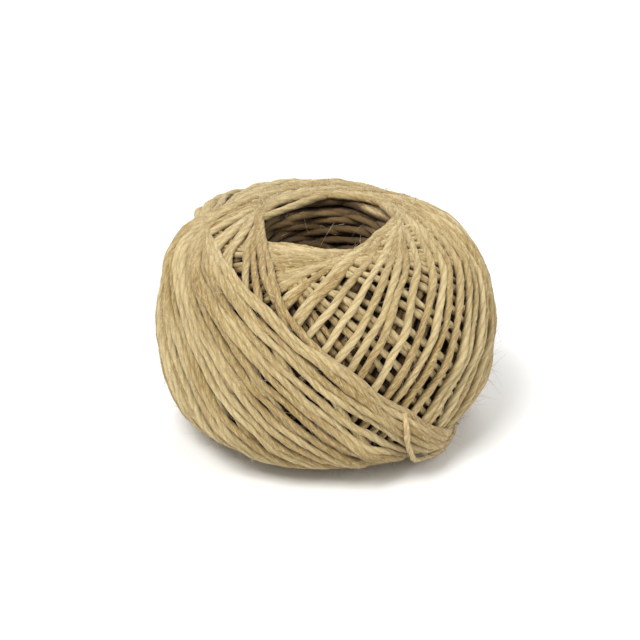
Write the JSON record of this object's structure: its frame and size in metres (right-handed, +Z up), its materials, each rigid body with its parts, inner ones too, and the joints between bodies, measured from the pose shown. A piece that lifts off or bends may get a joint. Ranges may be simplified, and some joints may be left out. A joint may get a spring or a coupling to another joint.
{
  "type": "ball of twine",
  "caption": "Barrel-shaped ball of natural jute twine with an open core hole, wound in crossing fans under a slanting belt, with a loose end tucked below the belt.",
  "frame": {"origin": "middle of the flat spot that the ball rests on, on the axis of its core hole", "axes": "+Z up along the core hole, +X to the right and -Y towards the viewer of the side where the slanting belt falls from upper left to lower right and the loose end drops below it"},
  "size_m": [0.0864, 0.088, 0.057],
  "materials": {
    "jute_twine": "natural straw-coloured jute twine, matt, plied, with loose fibres and brown shade between the turns",
    "jute_twine_end": "the same jute, thinner where it has lost a ply, a little more orange, with a frayed tip"
  },
  "bodies": {
    "root": {"ball": "jute_twine", "loose_end": "jute_twine_end"}
  },
  "joints": []
}
